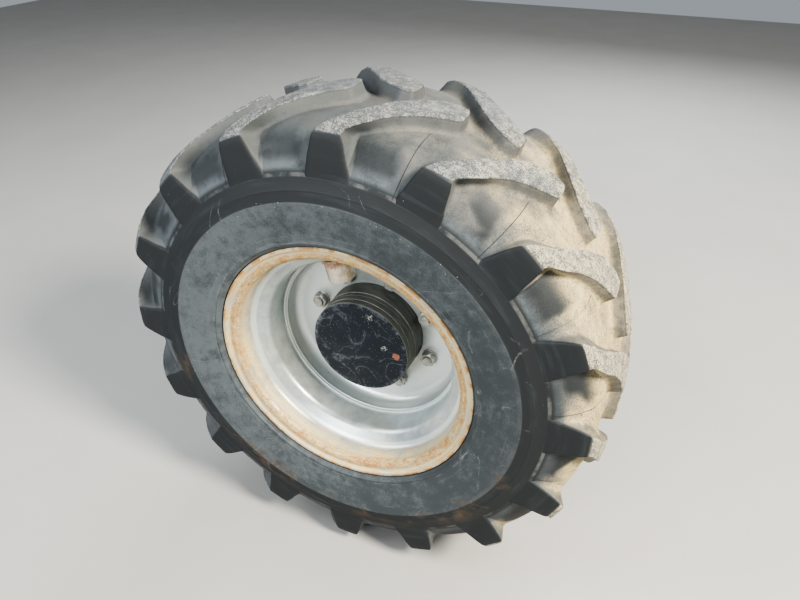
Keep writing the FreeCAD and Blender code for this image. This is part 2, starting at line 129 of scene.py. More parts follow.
def drawRoute(name, places, closed):
    # a new plane shrinks to one vertex, which is extruded from place to place
    clearSelection()
    bpy.ops.mesh.primitive_plane_add()
    piece = newPiece(name)
    editAll(piece)
    bpy.ops.mesh.merge(type="CENTER")
    bpy.ops.transform.translate(value=places[0])
    route = places + places[:1] if closed else places
    for here, there in zip(route, route[1:]):
        bpy.ops.mesh.extrude_region_move(TRANSFORM_OT_translate={"value": there - here})
    mergeAll("corners")
    return piece


def settle(piece, form="turned"):
    # back to object mode, origin at zero, smooth faces with crisp corners
    makeActive(piece)
    bpy.ops.object.transform_apply()
    bpy.ops.object.shade_smooth_by_angle(angle=math.radians(smoothUpTo[form]))
    piece.select_set(False)
    return piece


def useModifier(piece, kind, **settings):
    makeActive(piece)
    modifier = piece.modifiers.new(kind.title(), kind)
    for name, value in settings.items():
        setattr(modifier, name, value)
    bpy.ops.object.modifier_apply(modifier=modifier.name)
    return piece


def roundEdges(piece, width, segments, sharpest):
    return useModifier(piece, "BEVEL", width=width, segments=segments, limit_method="ANGLE",
                       angle_limit=math.radians(sharpest))


def carve(piece, tool, operation="DIFFERENCE"):
    useModifier(piece, "BOOLEAN", object=tool, operation=operation, solver="EXACT")
    bpy.data.objects.remove(tool)
    return piece


def turned(name, corners, steps, arcSteps=4, closed=True):
    # a corner has radius, out and, unless it is sharp, its rounding. The outline is drawn, rounded and spun
    places = [onProfile(*corner[:2]) for corner in corners]
    piece = drawRoute(name, places, closed)
    for rounding in sorted({corner[2] for corner in corners if len(corner) > 2}):
        soft = [place for place, corner in zip(places, corners) if corner[2:] == (rounding,)]
        pick(piece, lambda vert: any((vert.co - place).length < mergeWithin["corners"] for place in soft))
        bpy.ops.mesh.bevel(offset=rounding, segments=arcSteps, affect="VERTICES")
    bpy.ops.mesh.select_all(action="SELECT")
    bpy.ops.mesh.spin(steps=steps, angle=fullTurn, center=(0, 0, 0), axis=(0, 1, 0))
    mergeAll("spun")
    faceOutwards()
    return settle(piece)


def finishPiece(piece, material, body, slotName, *nodes):
    piece.data.materials.clear()
    piece.data.materials.append(material)
    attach(piece, body)
    if nodes:
        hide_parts(*nodes)
    return piece


def turnAboutAxle(piece, degrees):
    makeActive(piece)
    piece.rotation_euler = (0, -math.radians(degrees), 0)
    bpy.ops.object.transform_apply()
    return piece


def joinPieces(pieces, name):
    makeActive(pieces[0])
    for piece in pieces:
        piece.select_set(True)
    bpy.ops.object.join()
    joined = newPiece(name)
    joined.select_set(False)
    return joined


def roundTheAxle(piece, count, first=0.0):
    # evenly spaced copies of the piece, joined into one mesh
    name = piece.name
    copies = [turnAboutAxle(copyOf(piece, name + "Copy"), first + 360.0 * k / count) for k in range(count)]
    bpy.data.objects.remove(piece)
    return joinPieces(copies, name + "Set")


def straightBar(name, radius, low, high, circle=0.0, sides=32):
    # bar along the axle from out = low to out = high, centred on the +X side of a circle
    clearSelection()
    bpy.ops.mesh.primitive_cylinder_add(
        vertices=sides, radius=radius, depth=high - low,
        location=onProfile(circle, (low + high) / 2), rotation=(math.pi / 2, 0, 0))
    return settle(newPiece(name), "bar")


class Wire:
    # one socket of a finish; sums on it add Math nodes
    def __init__(self, finish, socket):
        self.finish = finish
        self.socket = socket

    def maths(self, operation, *others):
        return self.finish.node("Math", {"operation": operation}, dict(enumerate((self, *others))))

    __add__ = __radd__ = partialmethod(maths, "ADD")
    __sub__ = partialmethod(maths, "SUBTRACT")
    __rsub__ = partialmethod(maths, "MULTIPLY_ADD", -1.0)
    __mul__ = __rmul__ = partialmethod(maths, "MULTIPLY")
    __truediv__ = partialmethod(maths, "DIVIDE")
    __pow__ = partialmethod(maths, "POWER")
    __abs__ = partialmethod(maths, "ABSOLUTE")
    capped = partialmethod(maths, "MINIMUM", 1.0)

    def above(self, low, high):
        # 0 below low, 1 above high, smooth between
        settings = {"interpolation_type": "SMOOTHSTEP"}
        values = {"Value": self, "From Min": low, "From Max": high}
        return self.finish.node("MapRange", settings, values)

    def below(self, low, high):
        return 1.0 - self.above(low, high)

    def between(self, low, high, soft):
        return self.above(low - soft, low + soft) * self.below(high - soft, high + soft)

    def line(self, centre, width):
        # thin line where the value passes the centre
        return abs(self - centre).below(width * 0.4, width)

    def lines(self, table):
        return sum(self.line(centre, width) * share for centre, width, share in table)


socketNames = {"metal": "Metallic", "coat": "Coat Weight", "coatRough": "Coat Roughness",
               "specular": "Specular IOR Level"}


class Finish:
    # one procedural material; cover() lays the next colour of its palette over the tone so far
    def __init__(self, name, palette):
        self.palette = palette
        self.material = bpy.data.materials.new(name)
        self.material.use_nodes = True
        self.tree = self.material.node_tree
        self.tree.nodes.clear()
        self.place = self.node("TexCoord", {}, {}, "Object")
        split = self.node("SeparateXYZ", {}, {"Vector": self.place}, "X")
        names = split.socket.node.outputs
        self.x, self.y, self.z = (Wire(self, names[axis]) for axis in ("X", "Y", "Z"))
        self.radius = (self.x * self.x + self.z * self.z) ** 0.5
        self.out = wheelCentre.y - self.y
        self.away = abs(self.out)

    def node(self, kind, settings, sockets, output=0):
        made = self.tree.nodes.new("ShaderNode" + kind)
        for name, value in settings.items():
            setattr(made, name, value)
        for name, value in sockets.items():
            if isinstance(value, Wire):
                self.tree.links.new(value.socket, made.inputs[name])
            else:
                made.inputs[name].default_value = value
        return Wire(self, made.outputs[output]) if made.outputs else None

    def noise(self, scale, detail=3.0, rough=0.5, place=None, warp=0.0):
        sockets = {"Vector": place or self.place, "Scale": scale, "Detail": detail,
                   "Roughness": rough, "Distortion": warp}
        return self.node("TexNoise", {}, sockets, "Fac")

    def cells(self, scale, output="Distance"):
        return self.node("TexVoronoi", {}, {"Vector": self.place, "Scale": scale}, output)

    def specks(self, scale, size, rarity):
        # small dots, in some of the cells only
        return self.cells(scale).below(*size) * self.cells(scale, "Color").above(*rarity)

    def attribute(self, name):
        return self.node("Attribute", {"attribute_name": name}, {}, "Fac")

    def farFrom(self, name):
        # distance in x and z from one place on the wheel
        x, z = (axis - at for axis, at in zip((self.x, self.z), self.palette[name]))
        return (x * x + z * z) ** 0.5

    def zone(self, name):
        # between two radii and two distances from the tyre's middle plane
        radii, outs = self.palette[name]
        return self.radius.between(*radii) * self.away.between(*outs)

    def streaks(self, roundScale, acrossScale, detail=3.0, rough=0.6):
        # noise drawn out round the axle
        sockets = {"X": self.x / self.radius * roundScale, "Y": self.z / self.radius * roundScale,
                   "Z": (self.radius + self.out) * acrossScale}
        return self.noise(1.0, detail, rough, self.node("CombineXYZ", {}, sockets))

    def mix(self, share, *paints):
        # a paint is a tone made before or a colour's name in the palette
        sockets = {0: share}
        for place, paint in enumerate(paints, 6):
            sockets[place] = paint if isinstance(paint, Wire) else (*self.palette[paint], 1.0)
        return self.node("Mix", {"data_type": "RGBA", "clamp_factor": True}, sockets, 2)

    def cover(self, share, paint):
        self.tone = self.mix(share, self.tone, paint)

    def close(self, rough, height=None, depth=0.0, strength=0.5, **constants):
        # height makes the bump, depth is its reach in metres
        sockets = {"Base Color": self.tone, "Roughness": rough}
        if height:
            bump = {"Height": height, "Distance": depth, "Strength": strength}
            sockets["Normal"] = self.node("Bump", {}, bump)
        for name, value in constants.items():
            sockets[socketNames[name]] = value
        shader = self.node("BsdfPrincipled", {}, sockets)
        self.node("OutputMaterial", {}, {"Surface": shader})
        return self.material


print("stage: camera, floor and lights")

view = {
    "place": Vector((0.5156, -1.3819, 0.8616)),
    "right": Vector((0.9203, 0.3912, 0.0)),
    "up": Vector((-0.2164, 0.5090, 0.8331)),
    "lens": 29.6,
}


def makeCamera():
    bpy.ops.object.camera_add(location=view["place"])
    camera = bpy.context.object
    back = view["right"].cross(view["up"]).normalized()
    up = back.cross(view["right"]).normalized()
    turn = camera.matrix_world.to_3x3()
    turn.col[0], turn.col[1], turn.col[2] = view["right"].normalized(), up, back
    camera.rotation_euler = turn.to_euler()
    camera.data.lens = view["lens"]
    bpy.context.scene.camera = camera


studio = {
    "floorSize": 14.0,
    "floorColour": (0.36, 0.355, 0.34),
    "floorShade": (0.32, 0.315, 0.30),
    "floorRough": 0.85,
    "skyColour": (0.86, 0.92, 1.0, 1.0),
    "skyStrength": 0.32,
    "look": "AgX - High Contrast",
    # name: place, size, power, colour
    "lights": {
        "keyLight": ((3.0, -1.25, 2.6), 1.0, 420.0, (1.0, 0.93, 0.81)),
        "fillLight": ((-3.0, -2.2, 2.2), 2.4, 110.0, (0.92, 0.96, 1.0)),
        "frontLight": ((-0.7, -3.8, 1.3), 1.8, 95.0, (0.96, 0.98, 1.0)),
        "backLight": ((0.4, 3.4, 2.4), 3.0, 150.0, (0.92, 0.96, 1.0)),
    },
}


def makeStudio():
    clearSelection()
    bpy.ops.mesh.primitive_grid_add(x_subdivisions=8, y_subdivisions=8, size=studio["floorSize"],
                                    location=(0, 0, groundHeight))
    floor = newPiece("studioFloor")
    finish = Finish("studioFloorPaint", studio)
    finish.tone = finish.mix(finish.noise(3.0, 4.0), "floorColour", "floorShade")
    floor.data.materials.append(finish.close(studio["floorRough"]))
    world = bpy.data.worlds.new("studioSky")
    world.use_nodes = True
    sky = world.node_tree.nodes["Background"]
    sky.inputs["Color"].default_value = studio["skyColour"]
    sky.inputs["Strength"].default_value = studio["skyStrength"]
    bpy.context.scene.world = world
    bpy.context.scene.view_settings.look = studio["look"]
    for name, (place, size, power, colour) in studio["lights"].items():
        bpy.ops.object.light_add(type="AREA", location=place)
        light = bpy.context.object
        light.name = name
        light.data.shape = "DISK"
        light.data.size = size
        light.data.energy = power
        light.data.color = colour
        light.rotation_euler = (wheelCentre - Vector(place)).to_track_quat("-Z", "Y").to_euler()


makeCamera()
makeStudio()

print("stage: tyre")

rubber = {
    "clean": (0.042, 0.050, 0.055),
    "scuffed": (0.086, 0.099, 0.106),
    "stain": (0.030, 0.035, 0.038),
    "black": (0.018, 0.021, 0.023),
    "pits": (0.075, 0.080, 0.082),
    "worn": (0.27, 0.275, 0.27),
    "sunlitPaleDust": (0.45, 0.40, 0.275),
    "shadedDustAndHighlight": (0.080, 0.084, 0.083),
    "olive": (0.140, 0.136, 0.122),
    "sunlitDust": (0.47, 0.385, 0.215),
    "lip": (0.20, 0.205, 0.20),
    "mud": (0.085, 0.060, 0.042),
    "specks": (0.42, 0.43, 0.42),
    "beadRadius": 0.2855,
    "crestRadius": 0.378,
    "mouthRadius": 0.4255,
    "mouthOut": 0.1915,
    # the rest are edges: where each part starts and where it is full
    "endFace": (-0.0065, -0.0020),
    "endTop": (0.500, 0.508),
    "floor": (0.440, 0.462),
    "mouthTop": (0.478, 0.506),
    "mouthSide": (0.186, 0.191),
    "shoulder": (0.168, 0.188),
    "seamPhase": 28.3,
    "seamWidth": 0.0026,
    # moulded rings, drawn as pale lines that are painted highlights: radius, width, strength
    "rings": ((0.2990, 0.0022, 1.0), (0.3120, 0.0016, 0.6), (0.3560, 0.0018, 0.5)),
}


def makeRubber():
    finish = Finish("tyreRubber", rubber)
    out, radius = finish.away, finish.radius
    face = finish.attribute("tread")
    rise = finish.attribute("rise")
    rightward = finish.x / radius
    cloud = finish.noise(8.0, 4.0, 0.6)
    patch = finish.noise(24.0, 4.0, 0.6)
    grit = finish.noise(210.0, 3.0, 0.75)
    fine = finish.noise(520.0, 2.0, 0.7)
    smudge = finish.noise(62.0, 5.0, 0.7)
    speckle = finish.noise(360.0, 3.0, 0.8)
    brushed = finish.streaks(3.0, 70.0)
    turn = finish.z.maths("ARCTAN2", finish.x) * (lug["count"] / fullTurn)
    turn = turn - rubber["seamPhase"] / (360.0 / lug["count"]) + finish.out.below(-0.001, 0.001) * 0.5
    turn = turn - turn.maths("ROUND")
    # side wall: blue-grey, mottled and brushed round the wheel, lighter towards the top, with painted light
    # that makes it lighter on the left and darker on the right
    mottle = cloud * 0.26 + patch * 0.17 + smudge * 0.22 + brushed * 0.09 + speckle * 0.26
    mottle = (mottle - rightward * 0.045 + finish.z * 0.05).above(0.43, 0.57)
    finish.tone = finish.mix(mottle, "clean", "scuffed")
    # painted highlight: a lighter line along the crest
    crest = radius.line(rubber["crestRadius"] - 0.002, 0.006) * patch.above(0.40, 0.60)
    finish.cover(crest * 0.5, "shadedDustAndHighlight")
    # black ring outside the crest, and the lugs' end faces
    slope = rubber["mouthOut"] - (radius - rubber["mouthRadius"]) * 0.05
    endFace = (out - slope).above(*rubber["endFace"]) * radius.below(*rubber["endTop"])
    endFace = endFace * radius.above(rubber["crestRadius"], rubber["crestRadius"] + 0.0035)
    blackTone = finish.mix(brushed.above(0.50, 0.72) * 0.35, "black", "clean")
    finish.cover(endFace, blackTone)
    scoured = patch.above(0.50, 0.62) * cloud.above(0.48, 0.60) * (1.0 - endFace)
    finish.cover(scoured * (0.45 + smudge.above(0.42, 0.60) * 0.4), "stain")
    # painted highlights: pale lines along the moulded rings
    finish.cover(radius.lines(rubber["rings"]) * patch.above(0.46, 0.60) * 0.22, "lip")
    # floors between the lugs: dust in painted light, sunlit tan on the right, shaded grey on the left and
    # towards the mouth, and patches of painted shadow near the mouth
    floorZone = rise.below(0.15, 0.60) * radius.above(*rubber["floor"]) * (1.0 - endFace)
    mouth = radius.below(*rubber["mouthTop"]) * out.below(*rubber["mouthSide"])
    # painted shadow: dark patches near the mouth of each void
    shadowPatch = mouth * (turn + (cloud - 0.5) * 0.5).above(0.03, 0.15)
    shadowPatch = shadowPatch * finish.noise(11.0, 2.0, 0.4).above(0.36, 0.48)
    sunlitSide = rightward + (cloud - 0.5) * 1.1 + (patch - 0.5) * 0.6
    # painted shade: the dust turns to the shaded grey towards the mouth
    sunny = sunlitSide + (radius - 0.496) * 8.0
    dust = finish.mix(sunny.above(0.00, 0.45), "shadedDustAndHighlight", "olive")
    tan = sunny.above(0.40, 1.00) * (smudge * 0.5 + speckle * 0.5).above(0.30, 0.56)
    dust = finish.mix(tan, dust, "sunlitDust")
    grains = (patch * 0.3 + speckle * 0.7 + sunny.above(0.2, 1.0) * 0.04).above(0.32, 0.58)
    dusty = floorZone * (1.0 - shadowPatch * 0.9) * grains
    finish.cover(dusty * 0.9, dust)
    finish.cover(shadowPatch * floorZone * 0.8, "black")
    # lighter band on the lip of each void, part wear and part painted highlight along the edge
    lip = (radius - rubber["mouthRadius"] - 0.002).line(0.0, 0.0045) * rise.below(0.02, 0.08)
    lip = lip * (out - rubber["mouthOut"]).above(-0.006, -0.003)
    finish.cover(lip * patch.above(0.40, 0.62) * 0.35, "lip")
    # tread faces: worn pale and pitted right to their edges; painted light makes them paler on the right and
    # darker on the left, and painted shadow cuts the pale back in patches near the shoulder
    shoulder = out.above(*rubber["shoulder"]) * cloud.above(0.38, 0.60)
    worn = (face + (patch - 0.5) * 0.5 - shoulder * 0.4).above(0.35, 0.60)
    sunnyFace = sunlitSide.above(0.30, 0.80)
    pitted = speckle * 0.5 + fine * 0.2 + smudge * 0.3 + sunnyFace * 0.03
    wornTone = finish.mix(sunnyFace * 0.75, "worn", "sunlitPaleDust")
    wornTone = finish.mix(pitted.above(0.46, 0.60), "pits", wornTone)
    wornTone = finish.mix(cloud.above(0.46, 0.66) * (0.5 - sunnyFace * 0.35), wornTone, "scuffed")
    finish.cover(worn, wornTone)
    # lug walls: dust in painted light, shaded grey on the left and sunlit olive and tan on the right
    wall = rise.above(0.20, 0.45) * (1.0 - worn) * (1.0 - endFace)
    wallTone = finish.mix(sunny.above(0.1, 1.4), "shadedDustAndHighlight", "olive")
    wallTone = finish.mix(sunny.above(0.5, 1.2) * smudge.above(0.35, 0.60) * 0.3, wallTone, "sunlitDust")
    finish.cover(wall * (0.5 + (patch * 0.5 + speckle * 0.5).above(0.40, 0.60) * 0.45), wallTone)
    # mould seam across each floor
    seam = (turn * radius).line(0.0, rubber["seamWidth"]) * rise.below(0.02, 0.1)
    seam = seam * radius.above(0.426, 0.430) * finish.noise(5.0, 1.0).above(0.40, 0.52)
    finish.cover(seam * 0.85, "black")
    # pale specks on the black parts, mud low on the sidewall, dark line at the bead
    nearCrest = radius.between(0.366, 0.400, 0.012)
    specks = finish.specks(90.0, (0.04, 0.09), (0.46, 0.62))
    specks = specks * (patch * 0.5 + nearCrest * 0.2).above(0.27, 0.36) * (1.0 - worn)
    finish.cover(specks * 0.75, "specks")
    mud = radius.between(0.36, 0.415, 0.02) * finish.z.below(-0.10, 0.02) * cloud.above(0.50, 0.62)
    mud = mud * rise.below(0.0, 0.05) * patch.above(0.36, 0.60)
    finish.cover(mud * 0.7, "mud")
    finish.cover(radius.below(rubber["beadRadius"] - 0.002, rubber["beadRadius"]), "black")
    scuff = finish.noise(6.0, 1.5, 0.4, warp=1.4).line(0.52, 0.008) * cloud.above(0.47, 0.58)
    scuff = scuff * radius.below(0.40, 0.42) * grit.above(0.40, 0.60)
    finish.cover(scuff * 0.22, "specks")
    rough = 0.54 + worn * 0.30 + dusty * 0.30 + endFace * 0.04 + mottle * 0.06
    height = fine * (0.25 + worn * 0.9) + grit * (0.2 + worn * 1.2) + patch * 0.5 - seam * 1.5 - scuff * 0.3
    return finish.close(rough, height, 0.0016, specular=0.3)


casing = {
    # outer half of the closed outline, from the tread's middle round the bead to the inside
    "corners": [
        (0.5080, 0.0000), (0.5080, 0.1260, 0.030), (0.4800, 0.1650, 0.024), (0.4250, 0.1920, 0.0025),
        (0.4030, 0.1965), (0.4010, 0.1975, 0.001), (0.3980, 0.1976, 0.001), (0.3805, 0.2002, 0.001),
        (0.3785, 0.2009, 0.002), (0.3755, 0.2006, 0.002), (0.3480, 0.1975, 0.015), (0.3080, 0.1890, 0.010),
        (0.2960, 0.1866, 0.001), (0.2950, 0.1872, 0.001), (0.2915, 0.1866, 0.0025), (0.2893, 0.1815, 0.0025),
        (0.2832, 0.1785, 0.001), (0.2829, 0.1760), (0.2797, 0.1684, 0.004), (0.2721, 0.1652),
        (0.2583, 0.1652), (0.2583, 0.1283), (0.2826, 0.1283, 0.004), (0.3980, 0.1800, 0.030),
        (0.4700, 0.1380, 0.030), (0.4860, 0.0000),
    ],
    "steps": 192,
}


def mirrored(corners):
    # the same corners on the inner side, walked back so that an outline can go on with them
    return [(corner[0], -corner[1], *corner[2:]) for corner in reversed(corners) if corner[1] > 0]


lug = {
    "count": 16,
    "firstAngle": 22.1,
    "farShift": 11.25,
    "columns": 7,
    "edgeRounding": 0.0028,
    "footRounding": 0.009,
    "draft": 0.007,
    "flare": 0.012,
    "sink": 0.0003,
    "depth": 0.030,
    "buriedRows": 4,
    "firstFaceRow": 8,
    "uneven": 0.0012,
    "unevenSize": 0.028,
    # levels at which the sharp edges end, and the depth to which a face counts as worn
    "levels": (0.35, 0.65),
    "wornDepth": 0.006,
    # radius and out of the face, radius and out of the foot, clockwise and counterclockwise edge in degrees
    "rows": [
        (0.4190, 0.1927, 0.4100, 0.1800, -6.10, 5.60),
        (0.4270, 0.1917, 0.4180, 0.1810, -5.80, 5.35),
        (0.4380, 0.1914, 0.4310, 0.1815, -5.20, 5.00),
        (0.4500, 0.1910, 0.4455, 0.1800, -4.70, 4.60),
        (0.4640, 0.1903, 0.4590, 0.1735, -4.25, 4.20),
        (0.4780, 0.1894, 0.4700, 0.1680, -3.90, 3.75),
        (0.4900, 0.1884, 0.4790, 0.1625, -3.60, 3.30),
        (0.4990, 0.1872, 0.4850, 0.1575, -3.30, 2.90),
        (0.5060, 0.1835, 0.4905, 0.1515, -3.10, 2.40),
        (0.5120, 0.1780, 0.4955, 0.1455, -3.60, 1.60),
        (0.5175, 0.1700, 0.4995, 0.1400, -4.90, 0.60),
        (0.5220, 0.1600, 0.5035, 0.1345, -6.20, -0.80),
        (0.5265, 0.1470, 0.5065, 0.1280, -7.50, -2.10),
        (0.5288, 0.1340, 0.5078, 0.1220, -8.50, -3.00),
        (0.5307, 0.1200, 0.5080, 0.1150, -9.70, -4.10),
        (0.5324, 0.1050, 0.5080, 0.1040, -11.30, -5.30),
        (0.5341, 0.0880, 0.5080, 0.0880, -13.30, -6.40),
        (0.5355, 0.0700, 0.5080, 0.0700, -16.00, -7.80),
        (0.5363, 0.0580, 0.5080, 0.0580, -17.90, -8.80),
        (0.5369, 0.0480, 0.5080, 0.0480, -19.40, -9.60),
        (0.5373, 0.0400, 0.5080, 0.0400, -20.10, -10.30),
        (0.5376, 0.0280, 0.5080, 0.0280, -20.10, -11.30),
        (0.5379, 0.0160, 0.5080, 0.0160, -20.10, -12.60),
        (0.5380, 0.0070, 0.5080, 0.0070, -20.10, -13.90),
        (0.5380, 0.0000, 0.5080, 0.0000, -20.00, -15.20),
        (0.5380, -0.0060, 0.5080, -0.0060, -19.80, -16.80),
        (0.5380, -0.0090, 0.5080, -0.0090, -19.50, -17.60),
    ],
}


def lugPoint(across, along, level):
    # across 0..1 from the clockwise edge, along in rows, level 0 at the face and 1 at the foot
    rows = lug["rows"]
    last = len(rows) - 1
    low = min(max(int(along), 0), last - 1)
    share = min(max(along - low, 0.0), 1.0)
    faceR, faceOut, footR, footOut, clockwise, counter = (
        (1 - share) * a + share * b for a, b in zip(rows[low], rows[low + 1]))
    radius = (1 - level) * faceR + level * footR
    out = (1 - level) * faceOut + level * footOut
    inside = min(max(across, 0.0), 1.0)
    return radius, out, clockwise + (counter - clockwise) * inside


def wrapLug(piece, columns, rowCount):
    # flat sheet: x counts columns, y counts rows, z is minus the level; past the sheet is the flare
    skirt = []
    for vert in piece.data.vertices:
        x, y, level = vert.co.x, vert.co.y, -vert.co.z
        radius, out, degrees = lugPoint(x / columns, y, level)
        beyond = max(0.0, x - columns) - max(0.0, -x)
        side = (x > columns - mergeWithin["sheet"]) - (x < mergeWithin["sheet"])
        shift = side * lug["draft"] * level + beyond * lug["flare"]
        degrees += math.degrees(shift / radius)
        if y > rowCount - mergeWithin["sheet"]:
            out -= lug["draft"] * level + max(0.0, y - rowCount) * lug["flare"]
        if level > 1 - mergeWithin["sheet"] and y > lug["buriedRows"] - 0.5:
            skirt.append(vert.index)
        vert.co = aroundAxle(radius, out, degrees)
    piece.vertex_groups.new(name="skirt").add(skirt, 1.0, "REPLACE")


def awayFrom(line, place):
    # distance from a place on the profile to a line of places
    nearest = 1.0
    for here, there in zip(line, line[1:]):
        along = there - here
        share = min(max((place - here).dot(along) / along.length_squared, 0.0), 1.0)
        nearest = min(nearest, (place - here - share * along).length)
    return nearest


def markHeights(piece):
    # two values per vertex: tread is 1 on the worn face, rise goes from 0.1 at the casing to 1 at the top
    faceLine = [Vector(row[:2]) for row in lug["rows"][lug["firstFaceRow"]:]]
    corners = casing["corners"][:8]
    casingLine = [Vector(corner[:2]) for corner in mirrored(corners[:2]) + corners]
    tread, rise = [], []
    for vert in piece.data.vertices:
        place = Vector((math.hypot(vert.co.x, vert.co.z), wheelCentre.y - vert.co.y))
        tread.append(max(0.0, 1 - awayFrom(faceLine, place) / lug["wornDepth"]))
        rise.append(min(1.0, 0.1 + 0.9 * awayFrom(casingLine, place) / lug["depth"]))
    for name, values in (("tread", tread), ("rise", rise)):
        piece.data.attributes.new(name, "FLOAT", "POINT").data.foreach_set("value", values)
    body = piece.vertex_groups.new(name="body")
    for index, value in enumerate(rise):
        body.add([index], min(1.0, value * 2 - 0.2), "REPLACE")


def makeLug(tyreCasing):
    columns, rowCount = lug["columns"], len(lug["rows"]) - 1
    clearSelection()
    bpy.ops.mesh.primitive_grid_add(x_subdivisions=columns, y_subdivisions=rowCount, size=1)
    piece = newPiece("tyreLug")
    editAll(piece)
    bpy.ops.transform.resize(value=(columns, rowCount, 1))
    bpy.ops.transform.translate(value=(columns / 2, rowCount / 2, 0))
    # a wider copy one level down closes the lug under the casing's surface
    middle = Vector((columns / 2, rowCount / 2, -1))
    wider = ((columns + 2) / columns, (rowCount + 2) / rowCount, 1)
    bpy.ops.mesh.duplicate_move(TRANSFORM_OT_translate={"value": (0, 0, -1)})
    bpy.ops.transform.resize(value=wider, center_override=middle)
    pick(piece, lambda vert: vert.co.z > -0.5)
    bpy.ops.mesh.region_to_loop()
    bpy.ops.mesh.mark_sharp()
    for drop in lug["levels"]:
        bpy.ops.mesh.extrude_region_move(TRANSFORM_OT_translate={"value": (0, 0, -drop)})
        bpy.ops.mesh.mark_sharp(clear=True)
    bpy.ops.mesh.mark_seam()
    bpy.ops.mesh.extrude_region_move()
    bpy.ops.mesh.mark_seam(clear=True)
    bpy.ops.transform.resize(value=wider, center_override=middle)
    mergeAll("sheet")
    bpy.ops.object.mode_set(mode="OBJECT")
    wrapLug(piece, columns, rowCount)
    useModifier(piece, "SHRINKWRAP", target=tyreCasing, wrap_method="NEAREST_SURFACEPOINT",
                wrap_mode="ABOVE_SURFACE", offset=-lug["sink"], vertex_group="skirt")
    bpy.ops.object.mode_set(mode="EDIT")
    pick(piece, lambda edge: edge.seam, "edges")
    bpy.ops.mesh.bevel(offset=lug["footRounding"], segments=4)
    pick(piece, lambda edge: not edge.smooth, "edges")
    bpy.ops.mesh.bevel(offset=lug["edgeRounding"], segments=3)
    faceOutwards()
    bpy.ops.mesh.mark_seam(clear=True)
    bpy.ops.mesh.mark_sharp(clear=True)
    settle(piece, "moulded")
    markHeights(piece)
    return piece


def mirrorToFarSide(piece):
    # the same lug on the tyre's other half
    far = copyOf(piece, "tyreFarLug")
    editAll(far)
    bpy.ops.transform.mirror(constraint_axis=(False, True, False), center_override=wheelCentre)
    faceOutwards()
    return settle(far, "moulded")


def makeTyre():
    tyreCasing = turned("tyreCasing", casing["corners"] + mirrored(casing["corners"]), casing["steps"])
    near = makeLug(tyreCasing)
    far = mirrorToFarSide(near)
    clouds = bpy.data.textures.new("rubberUnevenness", "CLOUDS")
    clouds.noise_scale = lug["unevenSize"]
    finishPiece(tyreCasing, tyreRubber, "wheel", "tyre_rubber", "tyre")
    for piece, first in ((near, lug["firstAngle"]), (far, lug["firstAngle"] + lug["farShift"])):
        lugSet = roundTheAxle(piece, lug["count"], first)
        useModifier(lugSet, "DISPLACE", texture=clouds, texture_coords="GLOBAL", strength=lug["uneven"],
                    mid_level=0.75, vertex_group="body")
        finishPiece(lugSet, tyreRubber, "wheel", "tyre_rubber", "tyre")


tyreRubber = makeRubber()
makeTyre()

print("stage: rim and disc")

wheelPaint = {
    "silver": (0.315, 0.355, 0.370),
    "pale": (0.62, 0.67, 0.66),
    "cream": (0.57, 0.455, 0.235),
    "tan": (0.34, 0.225, 0.090),
    "orange": (0.27, 0.110, 0.032),
    "brown": (0.13, 0.060, 0.028),
    "darkening": (0.15, 0.15, 0.125),
    # zones: low, high and softness of the radius, then of the distance out
    "disc": ((-1.0, 0.2030, 0.0030), (-1.0, 0.0400, 0.0100)),
    "discRing": ((0.2040, 0.2135, 0.0010), (0.0450, 0.0520, 0.0010)),
    "wellEdge": ((0.2360, 0.2495, 0.0020), (0.1190, 0.1290, 0.0030)),
    "flange": ((0.2425, 1.0, 0.0045), (0.1350, 1.0, 0.0170)),
    "rustBand": ((0.2490, 0.2680, 0.0045), (0.1570, 1.0, 0.0050)),
    "slope": ((0.2425, 1.0, 0.0045), (0.1250, 0.1550, 0.0120)),
    "edge": ((0.27175, 1.0, 0.00175), (0.1720, 1.0, 0.0020)),
    "lip": ((0.27775, 1.0, 0.00125), (0.1720, 1.0, 0.0020)),
    "groove": ((0.2005, 0.2045, 0.0015), (-1.0, 0.0455, 0.0025)),
    "root": ((0.1100, 0.1340, 0.0140), (-1.0, 0.0160, 0.0040)),
}


